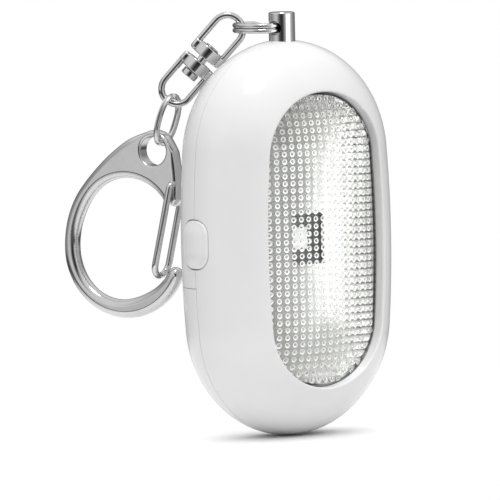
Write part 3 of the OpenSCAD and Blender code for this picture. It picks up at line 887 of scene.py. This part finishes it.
chain = {"yaw": 40.5, "ringR": 4.87, "ringWire": 0.92, "ringFrom": 69.5, "ringTurn": 680.0,
         "ringStep": (320, 40), "lean": 42.0, "loopLen": 9.95, "loopW": 6.8, "loopWire": 1.2, "baseT": 2.2,
         "gap": 0.95, "stem": 1.75, "drum": 5.0, "spinGap": 0.14, "loopSide": 0.72, "loopHang": 2.14,
         "footT": 1.4, "footEdge": 0.58, "linkLen": 10.0, "linkOval": 2.35, "linkW": 6.4, "linkWire": 1.15,
         "linkLean": 16.7, "linkTurn": 54.0, "linkFrom": 26.3, "linkSide": 0.12, "linkGap": 0.14,
         "flutes": 8, "groove": -0.34, "hookTurn": 30.0, "eyeFrom": 38.0, "eyeGap": 0.42}
hook = {"eyeX": 6.8, "eyeV": 17.9, "eyeD": 5.4, "boss": 3.8, "bowR": 9.9, "bar": 3.0, "plate": 2.9,
        "upperX": 0.7, "upperV": 3.2, "tip": -25.0, "rightR": 30.0, "rightAt": 14.5, "rightOut": 0.6,
        "hornAt": -4.6, "hornIn": 33.0, "hornEnd": (10.75, 7.75), "roundEdge": 1.35, "roundEye": 0.45,
        "leftRun": [(-12.8, 0.1), (-12.62, 2.58), (-12.12, 5.02), (-11.21, 7.48), (-9.85, 9.92),
                    (-7.96, 12.26), (-5.63, 14.69), (-2.67, 17.29), (1.25, 19.95)],
        "innerRun": [(-5.99, 10.1), (-7.26, 8.56), (-8.3, 6.84), (-9.12, 5.01), (-9.71, 3.1), (-10.02, 1.12),
                     (-10.01, -0.87), (-9.64, -2.83), (-8.9, -4.68), (-7.78, -6.34), (-6.33, -7.71),
                     (-4.61, -8.71), (-2.72, -9.31), (-0.75, -9.47), (1.22, -9.23), (3.15, -8.67),
                     (5.02, -7.85), (6.77, -6.8)],
        "gateX": 11.0, "gateV": 11.95, "gateWire": 1.2, "gateW": 5.0, "gateLen": 17.4, "gateLean": 13.2,
        "gateStep": 3.4, "gateBend": 0.9}
holeV = case["halfH"] + pin["holeUp"]
ringR = chain["ringR"]
sag = ringR - sqrt(ringR ** 2 - pin["d"] ** 2 / 4)
ringX, ringH = [-(ringR - sag / 2) * turn(radians(pin["yaw"])) for turn in (cos, sin)]
loopR = (chain["loopW"] - chain["loopWire"]) / 2
loopTop = loopR + chain["loopWire"] / 2
linkR = (chain["linkW"] - chain["linkWire"]) / 2
linkSeat = loopR - chain["loopWire"] / 2 - chain["linkWire"] / 2 - chain["linkGap"]
eyeSeat = hook["eyeD"] / 2 - chain["linkWire"] / 2 - chain["eyeGap"]
chainYaw = radians(chain["yaw"])


def hung(place, degrees, x, drop):
    return place @ turnBy("Z", -degrees) @ shift(x, -drop) @ turnBy("Z", degrees)


ringEnd = shift(ringX - ringR * cos(chainYaw), holeV, ringH - ringR * sin(chainYaw))
atRing = upright @ ringEnd @ turnBy("Y", -chain["yaw"])
atSwivel = atRing @ turnBy("Z", -chain["lean"]) @ shift(-chain["loopSide"], chain["loopHang"])
atLower = atSwivel @ shift(0, -2 * chain["loopLen"] - chain["gap"]) @ turnBy("Z", 180)
loopEnd = atSwivel @ shift(0, -2 * chain["loopLen"] - chain["gap"] + loopTop) @ turnBy("Z", chain["lean"])
atLink = hung(loopEnd, chain["linkFrom"], chain["linkSide"], linkSeat)
linkEnd = hung(atLink, chain["linkLean"], 0, chain["linkLen"] - chain["linkWire"])
atHook = hung(linkEnd @ turnBy("Y", -chain["hookTurn"]), chain["eyeFrom"], 0, eyeSeat)
atHook = atHook @ shift(-hook["eyeX"], -hook["eyeV"])


def pullPin():
    p = pin
    top, low = case["halfH"] + p["up"], case["halfH"] - p["sunk"]
    r, plug, c, end = p["d"] / 2, p["plug"] / 2, p["chamfer"], low - p["plugL"]
    profile = [(0, end - 0.6), (plug - 0.6, end - 0.6), (plug, end), (plug, low), (r - 0.1, low),
               (r, low + 0.1), (r, top - c * 1.4), (r - 0.06, top - c * 0.7), (r - c * 0.6, top - 0.07),
               (r - c * 1.5, top), (0, top)]
    obj = lathe("pullPin", profile, upright, brushed, 96, 25)
    across = upright @ shift(0, holeV) @ turnBy("Y", 180 - p["yaw"]) @ turnBy("X", 90)
    cutWith(obj, [rodCutter(across, p["hole"], -10, 10, 64)])

    def wanted(co):
        out = Vector((co.x, co.y + case["backR"] * mm, 0))
        return out.normalized() if abs(out.length - r * mm) < 8e-6 else None
    return trueNormals(obj, 25, wanted)


def splitRing():
    c = chain
    jogFrom, jogRun = c["ringStep"]  # where the wire steps from one turn to the other
    points = []
    for a in evenly(170, 0, c["ringTurn"]):
        z = (ease((a - jogFrom) / jogRun) - 0.5) * (c["ringWire"] - 0.02)
        turn = radians(a + c["ringFrom"])
        points.append((ringR * cos(turn), ringR * sin(turn), z))
    place = upright @ shift(ringX, holeV, ringH) @ turnBy("X", -90)
    return wire("splitRing", points, place, c["ringWire"] / 2, nickel)


def swivelLoop(name, place, bore):
    c = chain
    end, top = -c["loopLen"], -c["loopLen"] + c["baseT"]
    low, high = end + c["baseT"] / 2, -loopTop - 0.6
    path = [(loopR, low), (loopR, high)] + arc(0, -loopTop, loopR, 0, 180, 40)
    path += [(-loopR, high), (-loopR, low)]
    size = (c["loopW"], c["baseT"], c["footT"])
    foot = block("foot", (-c["loopW"] / 2, end, -c["footT"] / 2), size, c["footEdge"], place, nickel)
    inner, outer = bore / 2, c["drum"] / 2
    corners = [(inner, end - 0.01), (outer, end - 0.01), (outer, top + 0.01), (inner, top + 0.01)]
    barrel = rounded(corners, 0.22)
    barrel = lathe("barrel", barrel + [barrel[0]], place, brushedFoot, 64)
    return joined(name, [wire(name, path, place, c["loopWire"] / 2, nickel), foot, barrel])


def rivet():
    c = chain
    r = c["stem"] / 2
    y0, y1 = -(c["loopLen"] - c["baseT"] - 0.3), -(c["loopLen"] + c["gap"] + c["baseT"] + 0.15)
    profile = [(0, y0), (1.3, y0), (1.3, y0 - 0.25), (r, y0 - 0.25), (r, y1), (1.55, y1), (1.55, y1 - 1.2),
               (0, y1 - 1.2)]
    return lathe("swivelRivet", rounded(profile, 0.16, 4), atSwivel, nickel, 56)


def chainLink():
    c = chain
    half, power = (c["linkLen"] - c["linkWire"]) / 2, 2 / c["linkOval"]

    def bent(value):
        return abs(value) ** power * (1 if value > 0 else -1)
    turns = evenly(120, 0, 2 * pi)[:-1]
    path = [(linkR * bent(cos(a)), half * bent(sin(a)) - half) for a in turns]
    place = atLink @ turnBy("Z", -c["linkLean"]) @ turnBy("Y", c["linkTurn"])
    return wire("chainLink", path, place, c["linkWire"] / 2, cutWire, True, 48, c["flutes"], c["groove"])


def spline(points, steps=6):
    pts = [Vector(p) for p in points]
    out = []
    for i in range(len(pts) - 1):
        a, b, c, d = pts[max(i - 1, 0)], pts[i], pts[i + 1], pts[min(i + 2, len(pts) - 1)]
        bend, twist = 2 * a - 5 * b + 4 * c - d, 3 * b - a - 3 * c + d
        for t in evenly(steps)[:-1]:
            out.append(tuple(0.5 * (2 * b + (c - a) * t + bend * t * t + twist * t ** 3)))
    return out + [tuple(pts[-1])]


def snapHook():
    k = hook
    inner, outer, tip, eye = k["bowR"], k["bowR"] + k["bar"] - 0.05, k["tip"], (k["eyeX"], k["eyeV"])
    reach = k["rightR"] - k["boss"]
    rightX = k["eyeX"] + k["rightOut"] - reach * cos(radians(k["rightAt"]))
    rightV = k["eyeV"] - reach * sin(radians(k["rightAt"]))
    edge = arc(0, 0, outer, tip, -150, 84)
    edge += spline(arc(0, 0, outer, -150, -170, 2) + k["leftRun"] + arc(*eye, k["boss"], 112, 100, 2))
    edge += arc(*eye, k["boss"], 96, 40, 20)
    right = arc(rightX, rightV, k["rightR"], k["rightAt"] - 2, k["hornAt"], 20)
    edge += spline([edge[-1], right[0]])[1:-1] + right
    upper = arc(k["upperX"], k["upperV"], inner - 0.25, k["hornIn"], 124, 46)
    edge += spline([edge[-1], k["hornEnd"], upper[0]], 5)[1:-1] + upper
    tipIn = arc(0, 0, inner, tip - 8, tip, 4)
    edge += spline([edge[-1]] + k["innerRun"] + [tipIn[0]])[1:-1] + tipIn
    middle = inner + k["bar"] / 2
    tipX, tipV = middle * cos(radians(tip)), middle * sin(radians(tip))
    edge += arc(tipX, tipV, k["bar"] / 2, tip + 180, tip, 16)[1:-1]
    hole = arc(*eye, k["eyeD"] / 2, 0, 360, 64)[:-1]
    return platePiece("snapHook", edge, hole, k["plate"], (k["roundEdge"], k["roundEye"]), atHook, satin)


def evenRing(points, gap):
    pts = [Vector(p) for p in points]
    pts = [p for i, p in enumerate(pts) if (p - pts[i - 1]).length > 0.02]
    runs = [(b - a).length for a, b in zip(pts, pts[1:] + pts[:1])]
    count = round(sum(runs) / gap)
    step, out, done, i = sum(runs) / count, [], 0.0, 0
    for n in range(count):
        while done + runs[i] < n * step:
            done += runs[i]
            i += 1
        out.append(pts[i].lerp(pts[(i + 1) % len(pts)], (n * step - done) / runs[i]))
    return out


def awayFrom(ring, inwards):
    area = sum(a.x * b.y - b.x * a.y for a, b in zip(ring, ring[1:] + ring[:1]))
    facing = (1 if area > 0 else -1) * inwards
    runs = [b - a for a, b in zip(ring[-1:] + ring[:-1], ring[1:] + ring[:1])]
    return [Vector((run.y, -run.x)).normalized() * facing for run in runs]  # away from the metal


def roomAt(point, normal, others, most):
    room = most
    for q in others:  # largest circle in the metal that touches the edge here
        run = q - point
        depth = -normal.dot(run)
        if depth > 0.05:
            room = min(room, run.length_squared / (2 * depth) * 0.94)
    return room


def platePiece(name, edge, hole, thick, rounds, place, mat, steps=14):
    bm = bmesh.new()
    normals, caps = [], ([], [])
    turn = place.to_3x3()
    rims = [evenRing(edge, 0.24), evenRing(hole, 0.2)]
    for rim, inwards, roundEdge in zip(rims, (1, -1), rounds):
        sides = awayFrom(rim, inwards)
        rooms = [roomAt(p, n, rims[0] + rims[1], roundEdge) for p, n in zip(rim, sides)]
        for _ in range(6):  # evened out along the edge
            beside = zip(rooms[-1:] + rooms[:-1], rooms, rooms[1:] + rooms[:1])
            rooms = [min(b, (a + b + c) / 3) for a, b, c in beside]
        flat = thick / 2 - roundEdge
        levels = [(a, -flat) for a in evenly(steps, -pi / 2, 0)]
        levels += [(a, flat) for a in evenly(steps, 0, pi / 2)]
        rings = []
        for a, middle in levels:
            ring = []
            for p, n, room in zip(rim, sides, rooms):
                q = p - n * room * (1 - cos(a))
                ring.append(bm.verts.new(place @ Vector((q.x, q.y, middle + roundEdge * sin(a))) * mm))
                out = Vector((n.x * cos(a) / room, n.y * cos(a) / room, sin(a) / roundEdge))
                normals.append((turn @ out).normalized())
            rings.append(ring)
        skin(bm, rings)
        caps[0].append(rings[0])
        caps[1].append(rings[-1])
    for rings in caps:
        corners = [v for ring in rings for v in ring]
        for trio in tessellate_polygon([[v.co for v in ring] for ring in rings]):
            bm.faces.new([corners[i] for i in trio])
    bmesh.ops.recalc_face_normals(bm, faces=bm.faces)
    mesh = toMesh(name, bm)
    mesh.shade_smooth()
    mesh.normals_split_custom_set_from_vertices(normals)
    return addObject(name, mesh, mat)


def hookGate():
    k = hook
    half, bend, length, step = k["gateW"] / 2, k["gateBend"], k["gateLen"], k["gateStep"]
    path = [(0.3, 0), (half - bend - 0.2, 0)] + arc(half - bend, -bend, bend, 90, 0, 10)
    path += [(half, -length / 2)] + arc(0, -length + half, half, 0, -180, 36) + [(-half, -length / 2)]
    path += arc(-half + bend, -step - bend, bend, 180, 90, 10) + [(-half + bend + 0.2, -step), (-0.3, -step)]
    place = atHook @ shift(k["gateX"], k["gateV"]) @ turnBy("Z", -k["gateLean"]) @ turnBy("Y", -90)
    return wire("hookGate", path, place, k["gateWire"] / 2, nickel, around=24)


thePin = pullPin()
theRing = splitRing()
upperLoop = swivelLoop("swivelUpper", atSwivel, chain["stem"])
lowerLoop = swivelLoop("swivelLower", atLower, chain["stem"] + chain["spinGap"])
theRivet = rivet()
theLink = chainLink()
theHook = snapHook()
theGate = hookGate()
print("chain made")


# screws

def screwHead(name, site):
    s = screws["seat"]
    place = postAt(site)
    profile = [(0, s + 5.5), (0.7, s + 5.5), (1.0, s + 4.9), (1.0, s), (1.9, s), (1.9, s - 0.9),
               (1.5, s - 1.45), (0, s - 1.5)]
    obj = lathe(name, rounded(profile, 0.1, 3), place, screwSteel, 40, 40)
    slots = [block("slot", (-wide / 2, s - 2.2, -high / 2), (wide, 1.5, high), 0.05, place)
             for wide, high in [(2.2, 0.5), (0.5, 2.2)]]
    return cutWith(obj, slots)


caseScrews = joined("caseScrews", [screwHead("caseScrew", site) for site in screwSites])
doorScrew = screwHead("doorScrew", doorSite)
print("screws made")


# finishes on the frame's own nodes

inside = {"main_board": boardGreen, "controller_chip": blackPlastic, "tact_switch": blackPlastic,
          "pin_socket": blackPlastic, "pin_contacts": brass, "sound_chamber": blackPlastic,
          "piezo_disc": brass, "battery_cradle": blackPlastic, "button_cells": cellSteel,
          "battery_contacts": brass}
for name, mat in inside.items():
    nodes[name].data.materials.clear()
    nodes[name].data.materials.append(mat)

# which body each piece rides on, the node it stands for and its slot

pieces = [
    (front, "housing", "front_shell", "case_white"), (frontPosts, "housing", None, "case_white"),
    (back, "housing", "back_shell", "case_white"), (backPosts, "housing", None, "case_white"),
    (door, "door", "battery_door", "case_white"), (doorPost, "door", None, "case_white"),
    (cap, "button", "button_cap", "case_white"), (clear, "housing", "lens", "clear_lens"),
    (dots, "housing", None, "clear_lens"), (seal, "housing", "lens_gasket", "gasket_rubber"),
    (reflector, "housing", "reflector", "silvered_tray"), (well, "housing", None, "black_plastic"),
    (chip, "housing", "led", "emitter"), (thePin, "pin", "pull_pin", "polished_steel"),
    (theRing, "ring", "split_ring", "polished_steel"),
    (upperLoop, "upper_swivel", "swivel_upper", "polished_steel"),
    (theRivet, "upper_swivel", "swivel_rivet", "polished_steel"),
    (lowerLoop, "lower_swivel", "swivel_lower", "polished_steel"),
    (theLink, "link", "chain_link", "polished_steel"), (theHook, "hook", "snap_hook", "polished_steel"),
    (theGate, "gate", "hook_gate", "polished_steel"), (caseScrews, "housing", "case_screws", "screw_steel"),
    (doorScrew, "door", "door_screw", "screw_steel"),
]
for piece, body, node, slot in pieces:
    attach(piece, body)
    if node:
        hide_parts(node)
print("pieces:", len(pieces))


# stage, light and camera

stage = {"floor": -36.0, "size": 0.32, "fadeFrom": 0.06, "fadeTo": 0.145, "bounce": 0.76, "shown": 0.92,
         "lens": 600.0, "sensor": 36, "picture": 500, "scale": 5.496, "azimuth": 40.5, "elevation": 4.24,
         "roll": 0.0205, "centre": (286.09, 237.32)}
sky = {"top": 0.9, "ground": 0.5, "soft": 0.59, "horizon": 0.1,
       "around": [(-180, 0.16), (-140, 0.2), (-112, 0.3), (-92, 0.4), (-75, 0.6), (-58, 0.9), (-42, 0.85),
                  (-26, 0.22), (-9, 0.03), (7, 0.03), (20, 0.32), (38, 1.0), (64, 1.0), (80, 0.85),
                  (95, 0.56), (118, 0.3), (150, 0.2), (180, 0.16)]}


def studioFloor():
    s = stage
    mesh = bpy.data.meshes.new("floor")
    half, z = s["size"] / 2, s["floor"] * mm - 0.00002
    corners = [(-half, -half, z), (half, -half, z), (half, half, z), (-half, half, z)]
    mesh.from_pydata(corners, [], [(0, 1, 2, 3)])
    mat, tree, shader = newMaterial("floorWhite")
    seen = put(tree, "ShaderNodeLightPath", out="Is Camera Ray")
    coords = put(tree, "ShaderNodeTexCoord", out="Object")
    far = put(tree, "ShaderNodeVectorMath", {0: coords}, "Value", operation="LENGTH")
    thin = span(tree, far, 1.0, 0.0, s["fadeFrom"], s["fadeTo"], "SMOOTHSTEP")  # into the white
    fill(tree, shader, {"Base Color": mixColours(tree, seen, s["bounce"], s["shown"]), "Alpha": thin,
                        "Roughness": 0.6, "Specular IOR Level": 0.2})
    floor = addObject("floor", mesh, mat)
    return floor


def world():
    made = bpy.data.worlds.new("studio")
    scene.world = made
    made.use_nodes = True
    tree = made.node_tree
    paths = put(tree, "ShaderNodeLightPath", out=None)
    coords = put(tree, "ShaderNodeTexCoord", out="Generated")
    facing = pi / 2 + radians(stage["azimuth"])  # the camera's side turns to +x
    spin = put(tree, "ShaderNodeVectorRotate", {"Vector": coords, "Angle": facing}, rotation_type="Z_AXIS")
    parts = put(tree, "ShaderNodeSeparateXYZ", {0: spin}, None)
    turn = span(tree, calc(tree, "ARCTAN2", parts["Y"], parts["X"]), start=-pi, end=pi)
    around = ramp(tree, turn, [((a + 180) / 360, level) for a, level in sky["around"]])
    rise = ramp(tree, parts["Z"], [(0.3, 0.0), (0.62, 1.0)])
    light = mixColours(tree, rise, around, sky["top"])
    below = span(tree, parts["Z"], start=-0.6, end=0.0)
    band = ramp(tree, below, [(0.4, 0.0), (0.55, 1.0), (0.75, 1.0), (0.88, 0.0)])
    light = mixColours(tree, band, light, sky["horizon"])  # a dark line under the horizon edges the metal
    light = mixColours(tree, span(tree, parts["Z"], start=-0.25, end=-0.6), light, sky["ground"])
    light = mixColours(tree, paths["Is Diffuse Ray"], light, sky["soft"])
    light = mixColours(tree, paths["Is Camera Ray"], light, 1.0)
    fill(tree, tree.nodes["Background"], {"Color": light})


def areaLight(name, place, size, power, glossy=True):
    data = bpy.data.lights.new(name, "AREA")
    data.shape = "RECTANGLE"
    data.size, data.size_y = size
    data.energy = power
    made = bpy.data.objects.new(name, data)
    scene.collection.objects.link(made)
    made.location = place
    made.rotation_euler = (-Vector(place)).to_track_quat("-Z", "Y").to_euler()
    made.visible_glossy = glossy
    return made


def linked(name, objs, state):
    group = bpy.data.collections.new(name)
    for obj in objs:
        group.objects.link(obj)
    for item in group.collection_objects:
        item.light_linking.link_state = state
    return group


def lamps(floor):
    offFloor = linked("offFloor", [floor], "EXCLUDE")
    offWhite = linked("offWhite", [floor, front, back, door, cap], "EXCLUDE")
    key = areaLight("keySoft", (-0.06, -0.27, 0.75), (0.46, 0.46), 2.45, False)
    key.light_linking.receiver_collection = offFloor
    shine = areaLight("keyShine", (-0.17, -0.22, 0.75), (0.24, 0.24), 1.6)
    shine.light_linking.receiver_collection = offFloor
    side = areaLight("sideSoft", (0.22, -0.75, -0.11), (0.5, 0.4), 1.2)
    side.light_linking.receiver_collection = offWhite  # it lights the tray and the metal only
    above = areaLight("floorSoft", (0.0, 0.0, 0.9), (2.2, 2.2), 22.0)
    above.light_linking.receiver_collection = linked("onlyFloor", [floor], "INCLUDE")
    above.light_linking.blocker_collection = linked("onlyCase", [front, back, door], "INCLUDE")


def camera():
    s = stage
    t, e, roll = radians(s["azimuth"]), radians(s["elevation"]), s["roll"]
    right = Vector((cos(t), -sin(t), 0))
    up = Vector((sin(t) * sin(e), cos(t) * sin(e), cos(e)))
    side, top = right * cos(roll) - up * sin(roll), right * sin(roll) + up * cos(roll)
    behind = side.cross(top)
    middle = s["picture"] / 2
    offX, offV = (middle - s["centre"][0]) / s["scale"], (s["centre"][1] - middle) / s["scale"]
    aim = Vector((0, -case["backR"], 0)) + side * offX + top * offV
    away = s["picture"] / s["scale"] * s["lens"] / s["sensor"]
    data = bpy.data.cameras.new("camera")
    data.sensor_width, data.lens = s["sensor"], s["lens"]
    data.clip_start, data.clip_end = 0.05, 50
    made = bpy.data.objects.new("camera", data)
    scene.collection.objects.link(made)
    turn = Matrix((side, top, behind)).transposed().to_4x4()
    made.matrix_world = Matrix.Translation((aim + behind * away) * mm) @ turn
    scene.camera = made


lamps(studioFloor())
world()
camera()
scene.view_settings.view_transform = "Standard"
print("stage set")
